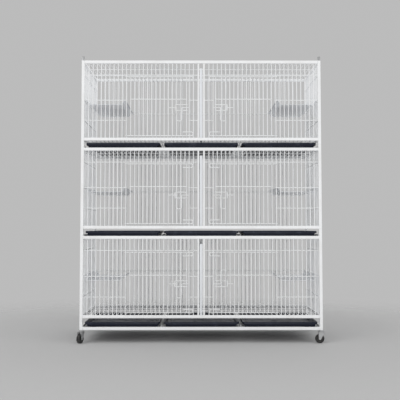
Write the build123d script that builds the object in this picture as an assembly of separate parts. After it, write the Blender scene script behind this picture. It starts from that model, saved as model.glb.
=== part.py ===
from build123d import *
import math
import os

# A stack of three double breeding cages on castors, in millimetres, +Z up.
# The origin is on the floor, under the middle of the stack. The doors face -Y.
# Each cage has two bays, a door and a rest platform in each, and three trays below its wire floor.

# Frame of square tube
frame_width = 1200.0
frame_depth = 500.0
tube_side = 15.0
tube_wall = 1.2
tier_names = ("lower", "middle", "upper")
tier_opening = 375.0
tray_gap = 35.0
base_tray_gap = 43.0
pin_reach = 25.0
top_pin_height = 20.0

# Wire panels
wire = 4.0
wire_pitch = 21.0
wire_overhang = 1.0
side_pitch = 58.75
pitches_per_grid_wire = 3
centre_gap = 20.0
centre_bar_width = 8.0
centre_bar_depth = 12.0
wire_inset = 6.0
low_wire_rise = 88.0
platform_wire_rise = 190.0
header_drop = 57.0
grid_drop = 7.5

# Doors
door_pitches = 15
latch_pitches = 2
door_clearance = 0.3
door_edge_gap = 13.0
door_top_gap = 9.0
door_bottom_rise = 11.0
door_middle_rise = 195.5
hook_reach = 19.0
hook_drop = 18.0
hook_return = 50.5

# Sliding bolts
bolt_wire = 3.4
bolt_play = 0.3
bolt_rise = 153.0
bolt_length = 94.0
bolt_tip_gap = 2.5
bolt_handle_width = 25.0
bolt_handle_length = 70.0
bolt_handle_back = 33.0
bracket_half_height = 14.5
bracket_reach = 57.0

# Rest platforms of folded sheet
sheet = 1.2
platform_drop = 23.0
platform_rim = 5.5
platform_post_gap = 1.5
platform_slope = 17.0
platform_flat = 159.0
platform_front_gap = 20.0
platform_rear_gap = 34.0
hook_cover = 3.0

# Sliding dividers and their guides
slide_gap = 0.3
divider_sheet = 1.0
divider_flange = 12.0
divider_top_gap = 25.0
divider_rear_gap = 12.0
guide_height = 8.0
guide_thickness = 3.0
guide_inset = 3.0

# Trays and their runners
trays_per_tier = 3
tray_side_gap = 9.0
tray_depth = 460.0
tray_height = 24.0
tray_wall = 1.6
tray_rim = 5.0
tray_lip = 11.0
tray_taper = 6.0
tray_front_inset = 4.0
runner_sheet = 1.5
runner_flange = 60.0
runner_web = 8.0

# Castors
wheel_diameter = 45.0
wheel_width = 18.0
wheel_flats = 24
wheel_side_gap = 1.2
wheel_top_gap = 9.1
axle_diameter = 6.0
axle_play = 0.1
castor_trail = 8.0
fork_sheet = 2.5
fork_width = 26.0
swivel_plate = 30.0
swivel_corner = 4.0
swivel_gap = 0.4
king_pin = 8.0
king_pin_play = 0.08
nut_across = 13.0
nut_thickness = 2.0
cup_across = 24.0
cup_height = 7.0
plug_length = 26.0
castor_headings = {
    "front_left": 245.0,
    "front_right": 180.0,
    "rear_left": 120.0,
    "rear_right": 20.0,
}

# Places that follow from the sizes above
sides = {"left": -1, "right": 1}
corners = {"front_left": (-1, -1), "front_right": (1, -1), "rear_left": (-1, 1), "rear_right": (1, 1)}
half_width = frame_width / 2
half_depth = frame_depth / 2
inner_x = half_width - tube_side
inner_y = half_depth - tube_side
post_x = half_width - tube_side / 2
post_y = half_depth - tube_side / 2
tube_bore = tube_side - 2 * tube_wall
castor_height = wheel_diameter + wheel_top_gap + fork_sheet + swivel_gap + cup_height
base_top = castor_height + tube_side
first_floor = base_top + base_tray_gap
tier_pitch = 2 * tube_side + tier_opening + tray_gap
centre_half = centre_gap / 2 + centre_bar_width
bay_width = inner_x - centre_half
bay_pitches = round(bay_width / wire_pitch)
bay_pitch = bay_width / bay_pitches
latch_index = bay_pitches - latch_pitches
hinge_index = latch_index - door_pitches
header_rise = tier_opening - header_drop
panel_y = -half_depth + wire_inset + wire / 2
hinge_eye = wire / 2 + door_clearance
door_y = panel_y + hinge_eye + wire / 2
door_back_y = door_y + wire
hook_y = panel_y - wire - door_clearance
door_top_rise = header_rise - door_top_gap
bracket_y = door_y - wire
platform_depth = frame_depth - platform_front_gap - platform_rear_gap


def block(x0, x1, y0, y1, z0, z1):
    """A box between two values on each axis, in either order."""
    middle = Pos((x0 + x1) / 2, (y0 + y1) / 2, (z0 + z1) / 2)
    return middle * Box(abs(x1 - x0), abs(y1 - y0), abs(z1 - z0))


def upright(x, y, z0, z1, size=wire):
    """A wire that stands at x, y."""
    return block(x - size / 2, x + size / 2, y - size / 2, y + size / 2, z0, z1)


def crosswise(x0, x1, y, z, size=wire):
    """A wire that runs from side to side."""
    return block(x0, x1, y - size / 2, y + size / 2, z - size / 2, z + size / 2)


def lengthwise(x, y0, y1, z, size=wire):
    """A wire that runs from front to back."""
    return block(x - size / 2, x + size / 2, y0, y1, z - size / 2, z + size / 2)


def joined(pieces):
    """One solid from pieces that overlap or meet face to face."""
    return pieces[0].fuse(*pieces[1:]).clean() if len(pieces) > 1 else pieces[0]


def save(node, solids):
    """Write the node's solids to its STEP file."""
    export_step(Compound(solids), f"parts/{node}.step")


def floor_bottom(tier):
    return first_floor + tier * tier_pitch


def floor_top(tier):
    return floor_bottom(tier) + tube_side


def ceiling_bottom(tier):
    return floor_top(tier) + tier_opening


def ceiling_top(tier):
    return ceiling_bottom(tier) + tube_side


def bay_x(side, index):
    """The x of a wire place, counted in pitches from the post towards the middle."""
    return side * (inner_x - bay_pitch * index)


def past(side, index, reach):
    """The x of a wire place, moved on towards the middle by a reach in millimetres."""
    return bay_x(side, index) - side * reach


def tray_levels():
    """Heights of the rail tops that trays stand on, one for each tier."""
    return [base_top] + [ceiling_top(tier) for tier in range(len(tier_names) - 1)]


# Frame


def post(x, y, z0, z1):
    """A length of square tube that stands at a corner."""
    tube = Box(tube_side, tube_side, z1 - z0) - Box(tube_bore, tube_bore, z1 - z0)
    return Pos(x, y, (z0 + z1) / 2) * tube


def rail_ring(z0):
    """Four rails that butt between the corner posts."""
    z1 = z0 + tube_side
    rails = [block(-inner_x, inner_x, y * half_depth, y * inner_y, z0, z1) for y in (-1, 1)]
    rails += [block(x * half_width, x * inner_x, -inner_y, inner_y, z0, z1) for x in (-1, 1)]
    return rails


def base_frame():
    posts = [post(x * post_x, y * post_y, castor_height, first_floor) for x, y in corners.values()]
    return posts + rail_ring(castor_height)


def tier_frame(tier):
    top = floor_bottom(tier + 1) if tier < len(tier_names) - 1 else ceiling_top(tier)
    posts = [post(x * post_x, y * post_y, floor_bottom(tier), top) for x, y in corners.values()]
    return posts + rail_ring(floor_bottom(tier)) + rail_ring(ceiling_bottom(tier))


def stacking_pins():
    """Square pins that join the posts of one tier to the next, and stand out of the topmost posts."""
    pins = []
    for x, y in corners.values():
        for tier in range(len(tier_names)):
            seam = floor_bottom(tier)
            pins.append(upright(x * post_x, y * post_y, seam - pin_reach, seam + pin_reach, tube_bore))
        top = ceiling_top(len(tier_names) - 1)
        pins.append(upright(x * post_x, y * post_y, top - pin_reach, top + top_pin_height, tube_bore))
    return pins


# Wire panels


def hinge_wire(x, z0, z1):
    """The round wire that a door swings on."""
    return Pos(x, panel_y, (z0 + z1) / 2) * Cylinder(wire / 2, z1 - z0)


def front_panel(tier):
    """The fixed wires of the front, with an opening for a door in each bay."""
    z0 = floor_top(tier)
    z1 = ceiling_bottom(tier)
    header_z = z0 + header_rise
    stub_z = header_z - wire / 2 - wire_overhang
    back_y = panel_y + wire
    end = wire / 2 + wire_overhang
    wires = []
    for side in sides.values():
        for index in range(1, bay_pitches):
            x = bay_x(side, index)
            if index == hinge_index:
                wires.append(hinge_wire(x, z0, z1))
            elif hinge_index < index < latch_index:
                wires.append(upright(x, panel_y, stub_z, z1))
            else:
                wires.append(upright(x, panel_y, z0, z1))
        wires.append(crosswise(bay_x(side, 0), side * centre_half, back_y, header_z))
        for rise in (low_wire_rise, platform_wire_rise):
            wires.append(crosswise(bay_x(side, 0), past(side, hinge_index, end), back_y, z0 + rise))
            wires.append(crosswise(past(side, latch_index, -end), side * centre_half, back_y, z0 + rise))
    return wires


def rear_panel(tier):
    z0 = floor_top(tier)
    z1 = ceiling_bottom(tier)
    wires = []
    for side in sides.values():
        wires += [upright(bay_x(side, index), -panel_y, z0, z1) for index in range(1, bay_pitches)]
        middle_z = z0 + platform_wire_rise
        wires.append(crosswise(bay_x(side, 0), side * centre_half, -panel_y - wire, middle_z))
    return wires


def side_panels(tier):
    z0 = floor_top(tier)
    z1 = ceiling_bottom(tier)
    outer_x = half_width - wire_inset - wire / 2
    count = round(2 * inner_y / side_pitch)
    step = 2 * inner_y / count
    wires = []
    for side in sides.values():
        wires += [upright(side * outer_x, -inner_y + step * i, z0, z1) for i in range(1, count)]
        for rise in (low_wire_rise, platform_wire_rise, header_rise):
            wires.append(lengthwise(side * (outer_x - wire), -inner_y, inner_y, z0 + rise))
    return wires


def wire_grid(top_z):
    """A level grid inside the rails: close wires from front to back on two cross wires."""
    z = top_z - wire / 2
    wires = []
    for side in sides.values():
        for index in range(bay_pitches, 0, -pitches_per_grid_wire):
            wires.append(lengthwise(bay_x(side, index), -inner_y, inner_y, z))
    for third in (-1, 1):
        wires.append(crosswise(-inner_x, inner_x, third * frame_depth / 6, z - wire))
    return wires


def centre_guides():
    """Upright bars beside each divider at the front and rear, and the low strips it slides between."""
    front = (-half_depth + guide_inset, -half_depth + guide_inset + centre_bar_depth)
    near = divider_sheet / 2 + slide_gap
    pieces = []
    for tier in range(len(tier_names)):
        z0 = floor_top(tier)
        z1 = ceiling_bottom(tier)
        for side in sides.values():
            outer = side * centre_half
            pieces.append(block(side * centre_gap / 2, outer, *front, z0, z1))
            pieces.append(block(side * near, side * (near + centre_bar_width), inner_y, half_depth, z0, z1))
            strip_x = (side * near, side * (near + guide_thickness))
            pieces.append(block(*strip_x, -inner_y, inner_y, z0 - wire, z0 + guide_height))
            link_x = (side * (near + centre_bar_width), outer)
            pieces.append(crosswise(*link_x, inner_y + wire / 2 + wire_overhang, z0 + platform_wire_rise))
    return pieces


def divider(tier):
    """A sheet between the two bays, folded to a flange along its front edge."""
    z0 = floor_top(tier) + slide_gap
    z1 = ceiling_bottom(tier) - divider_top_gap
    front = -half_depth
    flange = block(-divider_flange / 2, divider_flange / 2, front, front + divider_sheet, z0, z1)
    web = block(-divider_sheet / 2, divider_sheet / 2, front, half_depth - divider_rear_gap, z0, z1)
    return [joined([flange, web])]


# Rest platforms


def platform(side, tier):
    """A folded trough of sheet that hangs by four tabs on the wires at the front and rear."""
    rim_z = floor_top(tier) + platform_wire_rise + wire / 2 + sheet
    flat_z = rim_z - platform_drop
    steps = [0, platform_rim, platform_slope, platform_flat, platform_slope, platform_rim]
    places = [platform_post_gap + sum(steps[: i + 1]) for i in range(len(steps))]
    heights = [rim_z, rim_z, flat_z, flat_z, rim_z, rim_z]
    upper = [(side * (inner_x - place), z) for place, z in zip(places, heights)]
    lower = [(x, z - sheet) for x, z in reversed(upper)]
    outline = Polyline(*upper, *lower, close=True)
    front = -half_depth + platform_front_gap
    trough = Pos(0, front, 0) * extrude(Plane.XZ * make_face(outline), -platform_depth)
    wire_front = panel_y + wire + wire / 2 - hook_cover
    tabs = []
    for start in (places[0], places[4]):
        x0 = side * (inner_x - start)
        x1 = side * (inner_x - start - platform_rim)
        tabs.append(block(x0, x1, wire_front, front, rim_z - sheet, rim_z))
        tabs.append(block(x0, x1, front + platform_depth, -wire_front, rim_z - sheet, rim_z))
    return joined([trough, *tabs])


def platforms(tier):
    return [platform(side, tier) for side in sides.values()]


# Doors


def hinge_hook(side, z):
    """A door wire's end, bent three quarters of the way round the hinge wire."""
    x = bay_x(side, hinge_index)
    turns = [math.radians(90 + 45 * i) for i in range(7)]
    inner = hinge_eye / math.cos(math.radians(22.5))
    outer = (hinge_eye + wire) / math.cos(math.radians(22.5))
    half_step = math.radians(22.5)
    inside = [(-side * inner * math.cos(t + half_step), inner * math.sin(t + half_step)) for t in turns[:-1]]
    outside = [(-side * outer * math.cos(t + half_step), outer * math.sin(t + half_step)) for t in turns[:-1]]
    start = [(0, hinge_eye + wire), (0, hinge_eye)]
    outline = Polyline(*start, *inside, *reversed(outside), close=True)
    return Pos(x, panel_y, z - wire / 2) * extrude(make_face(outline), wire)


def hinged_wire(side, z, turn):
    """The door's top or bottom wire: hinge hook, straight run, then a stop hook in front of the panel."""
    hinge_x = bay_x(side, hinge_index)
    edge_x = past(side, latch_index, -door_edge_gap)
    jog_x = edge_x - side * (wire + wire_overhang)
    tip_x = past(side, latch_index, hook_reach)
    back_x = tip_x + side * hook_return
    turn_z = z + turn * hook_drop
    return joined([
        hinge_hook(side, z),
        crosswise(hinge_x, jog_x - side * wire / 2, door_y, z),
        lengthwise(jog_x, hook_y - wire / 2, door_y, z),
        crosswise(jog_x + side * wire / 2, tip_x, hook_y, z),
        upright(tip_x, hook_y, min(z, turn_z) - wire / 2, max(z, turn_z) + wire / 2),
        crosswise(tip_x, back_x, hook_y, turn_z),
    ])


def bolt_bracket(side, z):
    """A wire U on the door's edge that keeps the bolt against the door."""
    edge_x = past(side, latch_index, -door_edge_gap)
    bend_x = edge_x + side * bracket_reach
    arm_ends = (edge_x - side * (wire / 2 + wire_overhang), bend_x + side * wire / 2)
    arms = [crosswise(*arm_ends, door_y, z + turn * bracket_half_height) for turn in (-1, 1)]
    half = bracket_half_height + wire / 2
    return joined([*arms, upright(bend_x, bracket_y, z - half, z + half)])


def door(side, tier):
    """A wire door with its hinge hooks, stop hooks and bolt bracket."""
    z0 = floor_top(tier)
    bottom = z0 + door_bottom_rise
    top = z0 + door_top_rise
    end = wire / 2 + wire_overhang
    edge_x = past(side, latch_index, -door_edge_gap)
    middle_ends = (past(side, hinge_index + 1, -end), edge_x - side * end)
    places = [bay_x(side, index) for index in range(hinge_index + 1, latch_index - 1)] + [edge_x]
    wires = [upright(x, door_back_y, bottom - end, top + end) for x in places]
    wires.append(crosswise(*middle_ends, door_y, z0 + door_middle_rise))
    wires.append(hinged_wire(side, top, -1))
    wires.append(hinged_wire(side, bottom, 1))
    wires.append(bolt_bracket(side, z0 + bolt_rise))
    return wires


def bolt(side, tier):
    """A bolt of one bent wire, with a looped handle that hangs in front of the bracket."""
    z = floor_top(tier) + bolt_rise
    turn = 1 if (side, tier) == (sides["right"], 0) else -1
    tip_x = past(side, latch_index, -wire / 2 - bolt_tip_gap)
    tail_x = tip_x + side * bolt_length
    near_x = tip_x + side * bolt_handle_back
    far_x = near_x + side * bolt_handle_width
    loop_z = z + turn * (bolt_handle_length - bolt_wire / 2)
    half = bolt_wire / 2
    rod_y = door_y + wire / 2 - bolt_play - half
    leg_y = bracket_y - wire / 2 + half
    low, high = min(z, loop_z) - half, max(z, loop_z) + half
    return [joined([
        crosswise(tip_x, near_x + side * half, rod_y, z, bolt_wire),
        lengthwise(near_x, leg_y - half, rod_y, z, bolt_wire),
        upright(near_x, leg_y, low, high, bolt_wire),
        crosswise(near_x, far_x, leg_y, loop_z, bolt_wire),
        upright(far_x, leg_y, low, high, bolt_wire),
        lengthwise(far_x, leg_y - half, rod_y, z, bolt_wire),
        crosswise(far_x - side * half, tail_x, rod_y, z, bolt_wire),
    ])]


# Trays


def tray_runners():
    """Flat guides under the trays: two inverted tees between them and an angle at each side."""
    bay = 2 * inner_x / trays_per_tier
    runners = []
    for top in tray_levels():
        for i in range(trays_per_tier + 1):
            x = -inner_x + bay * i
            left = x - (runner_flange / 2 if i > 0 else 0)
            right = x + (runner_flange / 2 if i < trays_per_tier else 0)
            web_left = min(max(x - runner_sheet / 2, -inner_x), inner_x - runner_sheet)
            flange = block(left, right, -inner_y, inner_y, top - runner_sheet, top)
            web = block(web_left, web_left + runner_sheet, -inner_y, inner_y, top, top + runner_web)
            runners.append(joined([flange, web]))
    return runners


def tray(place, level):
    """A drawer tray with tapered walls and a rim that turns down to a lip."""
    bay = 2 * inner_x / trays_per_tier
    width = bay - runner_sheet - 2 * tray_side_gap
    body_width = width - 2 * tray_rim
    body_depth = tray_depth - 2 * tray_rim
    foot = (body_width - 2 * tray_taper, body_depth - 2 * tray_taper)
    hollow_foot = (foot[0] - 2 * tray_wall, foot[1] - 2 * tray_wall)
    hollow_top = (body_width - 2 * tray_wall, body_depth - 2 * tray_wall)
    body = loft([Rectangle(*foot), Pos(0, 0, tray_height) * Rectangle(body_width, body_depth)])
    hollow = loft([Pos(0, 0, tray_wall) * Rectangle(*hollow_foot), Pos(0, 0, tray_height) * Rectangle(*hollow_top)])
    lip_z = Pos(0, 0, tray_height - tray_lip)
    lip = lip_z * extrude(Rectangle(width, tray_depth), tray_lip)
    lip_inside = Rectangle(width - 2 * tray_wall, tray_depth - 2 * tray_wall)
    lip_hollow = lip_z * extrude(lip_inside, tray_lip - tray_wall)
    x = -inner_x + bay * place + bay / 2
    y = -half_depth + tray_front_inset + tray_depth / 2
    shape = (body + (lip - lip_hollow)) - hollow
    return [Pos(x, y, tray_levels()[level] + slide_gap) * shape.solid()]


# Castors


def castor_stems():
    """Plugs in the base posts, each with a bearing cup, a king pin and its nut below."""
    plate_top = castor_height - cup_height - swivel_gap
    pin_end = plate_top - fork_sheet - swivel_gap
    hexagon = RegularPolygon(nut_across / 2, 6, major_radius=False)
    octagon = RegularPolygon(cup_across / 2, 8, major_radius=False)
    stems = []
    for x, y in corners.values():
        place = Pos(x * post_x, y * post_y, 0)
        cup = extrude(octagon, -cup_height)
        pin = Cylinder(king_pin / 2, castor_height - pin_end, align=(Align.CENTER, Align.CENTER, Align.MAX))
        nut = Pos(0, 0, pin_end) * extrude(hexagon, -nut_thickness)
        plug = Box(tube_bore, tube_bore, plug_length, align=(Align.CENTER, Align.CENTER, Align.MIN))
        top = Pos(0, 0, castor_height)
        stems.append(place * joined([top * cup, top * pin, nut, top * plug]))
    return stems


def castor_place(corner):
    x, y = corners[corner]
    return Pos(x * post_x, y * post_y, 0) * Rot(0, 0, castor_headings[corner])


def castor_fork(corner):
    """A swivel plate with two side plates that carry the axle, trailing behind the king pin."""
    plate_top = castor_height - cup_height - swivel_gap
    arm_in = wheel_width / 2 + wheel_side_gap
    axle_z = wheel_diameter / 2
    outline = chamfer(Rectangle(swivel_plate, 2 * (arm_in + fork_sheet)).vertices(), swivel_corner)
    bore = Circle(king_pin / 2 + king_pin_play)
    plate = Pos(0, 0, plate_top) * extrude(outline - bore, -fork_sheet)
    top_half = fork_width / 2
    foot_half = axle_diameter
    arm_outline = Polyline(
        (-top_half, plate_top - fork_sheet),
        (top_half, plate_top - fork_sheet),
        (castor_trail + foot_half, axle_z - foot_half),
        (castor_trail - foot_half, axle_z - foot_half),
        close=True,
    )
    arm = extrude(Plane.XZ * make_face(arm_outline), fork_sheet)
    arms = [Pos(0, -arm_in, 0) * arm, Pos(0, arm_in + fork_sheet, 0) * arm]
    axle = Pos(castor_trail, 0, axle_z) * Rot(90, 0, 0) * Cylinder(axle_diameter / 2, 2 * arm_in)
    return [castor_place(corner) * joined([plate, *arms, axle])]


def castor_wheel(corner):
    bore = axle_diameter / 2 + axle_play
    tread = RegularPolygon(wheel_diameter / 2, wheel_flats, major_radius=False, rotation=180 / wheel_flats)
    wheel = extrude(tread - Circle(bore), wheel_width / 2, both=True)
    return [castor_place(corner) * Pos(castor_trail, 0, wheel_diameter / 2) * Rot(90, 0, 0) * wheel]


# Every node and its solids

os.makedirs("parts", exist_ok=True)

save("base_frame", base_frame())
save("stacking_pins", stacking_pins())
save("centre_guides", centre_guides())
save("tray_runners", tray_runners())
save("castor_stems", castor_stems())

for tier, name in enumerate(tier_names):
    save(f"{name}_frame", tier_frame(tier))
    save(f"{name}_front_panel", front_panel(tier))
    save(f"{name}_rear_panel", rear_panel(tier))
    save(f"{name}_side_panels", side_panels(tier))
    save(f"{name}_floor_grid", wire_grid(floor_top(tier)))
    save(f"{name}_ceiling_grid", wire_grid(ceiling_top(tier) - grid_drop))
    save(f"{name}_rest_platforms", platforms(tier))
    save(f"{name}_divider", divider(tier))
    for side_name, side in sides.items():
        save(f"{name}_{side_name}_door", door(side, tier))
        save(f"{name}_{side_name}_bolt", bolt(side, tier))
    for place, place_name in enumerate(("left", "middle", "right")):
        save(f"{name}_{place_name}_tray", tray(place, tier))

for corner in corners:
    save(f"{corner}_castor_fork", castor_fork(corner))
    save(f"{corner}_castor_wheel", castor_wheel(corner))
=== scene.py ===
"""The looks of a stacked breeding cage: its tubes, wires, doors, bolts, sheets, trays and castors."""

import logging
import math
from dataclasses import dataclass
from enum import Enum
from functools import cached_property
from typing import Any, Iterable, Sequence

import bpy
import numpy as np
from mathutils import Euler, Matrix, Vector


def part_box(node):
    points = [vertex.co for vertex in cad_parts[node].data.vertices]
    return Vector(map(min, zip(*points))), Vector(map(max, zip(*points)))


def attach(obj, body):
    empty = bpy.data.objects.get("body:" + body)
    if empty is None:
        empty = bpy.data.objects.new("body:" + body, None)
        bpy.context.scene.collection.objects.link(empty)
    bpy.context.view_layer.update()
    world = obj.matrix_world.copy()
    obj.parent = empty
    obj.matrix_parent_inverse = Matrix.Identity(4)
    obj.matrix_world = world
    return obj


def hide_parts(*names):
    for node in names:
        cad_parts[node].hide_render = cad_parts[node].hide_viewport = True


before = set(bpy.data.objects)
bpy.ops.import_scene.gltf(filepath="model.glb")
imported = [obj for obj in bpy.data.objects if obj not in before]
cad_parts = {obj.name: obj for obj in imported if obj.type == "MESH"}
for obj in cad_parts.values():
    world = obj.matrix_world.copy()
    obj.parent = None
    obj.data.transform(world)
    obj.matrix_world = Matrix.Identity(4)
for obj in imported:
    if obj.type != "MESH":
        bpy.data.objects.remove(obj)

log = logging.getLogger("breeding_cage")
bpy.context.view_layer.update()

Array = np.ndarray
Piece = bpy.types.Object
Colour = tuple[float, float, float]
Bends = tuple[float, ...]
Profile = tuple[tuple[float, float], ...]


def placed(name: str, data: Any) -> Piece:
    """A new object of this data, in the scene."""
    obj = bpy.data.objects.new(name, data)
    bpy.context.scene.collection.objects.link(obj)
    return obj


class Named(Enum):
    """Options whose names, in small letters, are part of the nodes' names."""

    @property
    def label(self) -> str:
        """The option's name in node names."""
        return self.name.lower()


class Side(Named):
    """The two bays of a tier, by the sign of their x."""

    LEFT = -1
    RIGHT = 1


class Tier(Named):
    """The three cages of the stack, from the floor up."""

    LOWER = 0
    MIDDLE = 1
    UPPER = 2


class Corner(Named):
    """The corners of the stack, by the signs of their x and y."""

    FRONT_LEFT = (-1, -1)
    FRONT_RIGHT = (1, -1)
    REAR_LEFT = (-1, 1)
    REAR_RIGHT = (1, 1)


# Shapes


@dataclass
class Shape:
    """Points and faces of a mesh, with faces in groups of one corner count each."""

    points: Array
    faces: list[Array]

    @staticmethod
    def joined(shapes: Iterable["Shape"]) -> "Shape":
        """One shape from several, with each one's faces renumbered.

        Args:
            shapes: The shapes, in any number.

        Returns:
            A shape that holds all of them.
        """
        points: list[Array] = []
        faces: list[Array] = []
        start = 0
        for shape in shapes:
            points.append(shape.points)
            faces += [group + start for group in shape.faces]
            start += len(shape.points)
        return Shape(np.concatenate(points), faces)

    def moved(self, turn: Array, origin: Sequence[float]) -> "Shape":
        """The shape turned by a 3 by 3 matrix of column axes, then moved.

        Args:
            turn: Columns are where local x, y and z go.
            origin: Where the local origin goes.

        Returns:
            The moved shape.
        """
        return Shape(self.points @ np.asarray(turn).T + np.asarray(origin), self.faces)

    def flipped(self) -> "Shape":
        """The shape with every face turned to look the other way."""
        return Shape(self.points, [group[:, ::-1] for group in self.faces])

    def piece(self, name: str, crease: float = 35.0) -> Piece:
        """A mesh object at the origin, smooth except across edges sharper than crease.

        Args:
            name: The object's name.
            crease: Angle in degrees past which an edge stays sharp.

        Returns:
            The new object.
        """
        mesh = bpy.data.meshes.new(name)
        mesh.from_pydata(self.points.tolist(), [], [f for group in self.faces for f in group.tolist()])
        mesh.polygons.foreach_set("use_smooth", np.ones(len(mesh.polygons), bool))
        mesh.set_sharp_from_angle(angle=math.radians(crease))
        mesh.update()
        return placed(name, mesh)


def unit(vectors: Array) -> Array:
    """Each row divided by its own length."""
    return vectors / np.linalg.norm(vectors, axis=-1, keepdims=True)


def point_rows(x: Any, y: Any, z: Any) -> Array:
    """Points in rows, from coordinates that are each one number or one for every point."""
    return np.stack(np.broadcast_arrays(x, y, z), -1).astype(float)


def grid_faces(rows: int, cols: int, rows_close: bool = False, cols_close: bool = True) -> Array:
    """Quads over a grid of points, each between neighbours along and across.

    Args:
        rows: How many rows of points follow each other.
        cols: Points in a row.
        rows_close: Whether the last row joins the first.
        cols_close: Whether a row's last point joins its first.

    Returns:
        Corner numbers, four to a row.
    """
    row, col = np.meshgrid(np.arange(rows - 1 + rows_close), np.arange(cols - 1 + cols_close),
                           indexing="ij")
    below, after = (row + 1) % rows, (col + 1) % cols
    corners = [row * cols + col, row * cols + after, below * cols + after, below * cols + col]
    return np.stack(corners, -1).reshape(-1, 4)


def capped(rings: Array) -> Shape:
    """Rings of points joined each to the next, with a flat face over the first and the last."""
    count, around = rings.shape[:2]
    near_end = np.arange(around)[None]
    far_end = near_end[:, ::-1] + (count - 1) * around
    return Shape(rings.reshape(-1, 3), [grid_faces(count, around)[:, ::-1], near_end, far_end])


def round_section(radius: float, sides: int = 8) -> Array:
    """A circle of points: radius times the cosine and sine of even angles."""
    angle = 2 * math.pi * (np.arange(sides) + 0.5) / sides
    return radius * np.stack([np.cos(angle), np.sin(angle)], -1)


def box_section(half_u: float, half_v: float, corner: float, steps: int = 3) -> Array:
    """A rectangle with round corners: each corner's centre plus a quarter circle of points.

    Args:
        half_u: Half the size along the first axis.
        half_v: Half the size along the second axis.
        corner: Corner radius.
        steps: Points in each corner's arc.

    Returns:
        Points in order round the outline.
    """
    quarter = np.linspace(0, math.pi / 2, steps)
    angle = (quarter[None, :] + np.arange(4)[:, None] * math.pi / 2).ravel()
    sign_u = np.repeat([1, -1, -1, 1], steps)
    sign_v = np.repeat([1, 1, -1, -1], steps)
    u = sign_u * (half_u - corner) + corner * np.cos(angle)
    v = sign_v * (half_v - corner) + corner * np.sin(angle)
    return np.stack([u, v], -1)


def bars(starts: Array, ends: Array, section: Array, ease: float) -> Shape:
    """Straight bars: each point is its end point plus the section laid across the bar's direction.

    The section is drawn at both ends, and again a little inside each end at full size, so that the
    end edges are eased. Bars along an axis keep their section square to the other axes.

    Args:
        starts: Start points, one row a bar.
        ends: End points.
        section: Outline in two dimensions.
        ease: How far the end edges are eased.

    Returns:
        All the bars as one shape.
    """
    starts, ends = np.atleast_2d(starts), np.atleast_2d(ends)
    along = unit(ends - starts)
    nearly_upright = np.abs(along[:, 2:3]) > 0.9
    helper = np.where(nearly_upright, [[1.0, 0.0, 0.0]], [[0.0, 0.0, 1.0]])
    across = unit(np.cross(along, helper))
    up = np.cross(across, along)
    shrink = 1 - ease / np.abs(section).max()
    inside = ease * along
    stations = [(starts, shrink), (starts + inside, 1.0), (ends - inside, 1.0), (ends, shrink)]
    rings = []
    for centre, scale in stations:
        flat = section[None] * scale
        rings.append(centre[:, None] + flat[:, :, :1] * across[:, None] + flat[:, :, 1:] * up[:, None])
    points = np.stack(rings, 1)
    rows, around = len(stations), len(section)
    offset = np.arange(len(starts))[:, None, None] * rows * around
    sides = grid_faces(rows, around)[None] + offset
    near_end = np.arange(around)[None] + offset[:, :, 0]
    far_end = near_end[:, ::-1] + (rows - 1) * around
    return Shape(points.reshape(-1, 3), [sides.reshape(-1, 4)[:, ::-1], near_end, far_end])


def bend(points: Sequence[Sequence[float]], radii: Sequence[float], steps: int = 6) -> Array:
    """A path of straight runs joined by arcs, each arc tangent to the two runs at its corner.

    An arc's centre lies on the line that halves the corner, at radius over the sine of half the
    corner's angle; its points turn from one run's normal to the other's.

    Args:
        points: The corners of the path, with its two ends.
        radii: A radius for each inner corner.
        steps: Points in each arc.

    Returns:
        The path's points.
    """
    corners = np.asarray(points, float)
    path = [corners[:1]]
    for before, here, after, radius in zip(corners, corners[1:], corners[2:], radii):
        back, on = unit(before - here), unit(after - here)
        half = math.acos(float(np.clip(back @ on, -1, 1))) / 2
        centre = here + unit(back + on) * radius / math.sin(half)
        first = here + back * radius / math.tan(half) - centre
        last = here + on * radius / math.tan(half) - centre
        sweep = math.pi - 2 * half
        share = np.linspace(0, 1, steps)[:, None]
        arc = (np.sin((1 - share) * sweep) * first + np.sin(share * sweep) * last) / math.sin(sweep)
        path.append(centre + arc)
    path.append(corners[-1:])
    return np.concatenate(path)


def bent_wire(path: Array, radius: float, sides: int = 10) -> Shape:
    """A round wire along a path: at each point a circle across the path's direction there.

    The direction is the difference of the neighbouring points. The ends are domed by two smaller
    circles a little further on.

    Args:
        path: The wire's middle line.
        radius: The wire's radius.
        sides: Points round the wire.

    Returns:
        The wire.
    """
    dome = np.array([0.85, 0.5])
    lead = path[0] + unit(path[0] - path[1]) * (radius * dome[:, None])
    tail = path[-1] + unit(path[-1] - path[-2]) * (radius * dome[::-1, None])
    middle = np.concatenate([lead, path, tail])
    scale = np.concatenate([dome[::-1], np.ones(len(path)), dome])
    along = unit(np.gradient(middle, axis=0))
    no_wires_way = unit(np.array([0.31, 0.23, 0.92]))
    across = unit(np.cross(along, no_wires_way))
    up = np.cross(across, along)
    circle = round_section(radius, sides)
    return capped(middle[:, None] + scale[:, None, None] * (
        circle[None, :, :1] * across[:, None] + circle[None, :, 1:] * up[:, None]))


def lathe(profile: Sequence[Sequence[float]], around: int = 48) -> Shape:
    """A turned shape about z: each profile point's radius times cosine and sine, at its height.

    Args:
        profile: Radius and height pairs that close on themselves, counter-clockwise.
        around: Points round the axis.

    Returns:
        A closed ring-shaped solid.
    """
    radius, height = np.asarray(profile, float).T
    angle = 2 * math.pi * np.arange(around) / around
    points = point_rows(radius[:, None] * np.cos(angle), radius[:, None] * np.sin(angle), height[:, None])
    return Shape(points.reshape(-1, 3), [grid_faces(len(radius), around, rows_close=True)[:, ::-1]])


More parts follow.
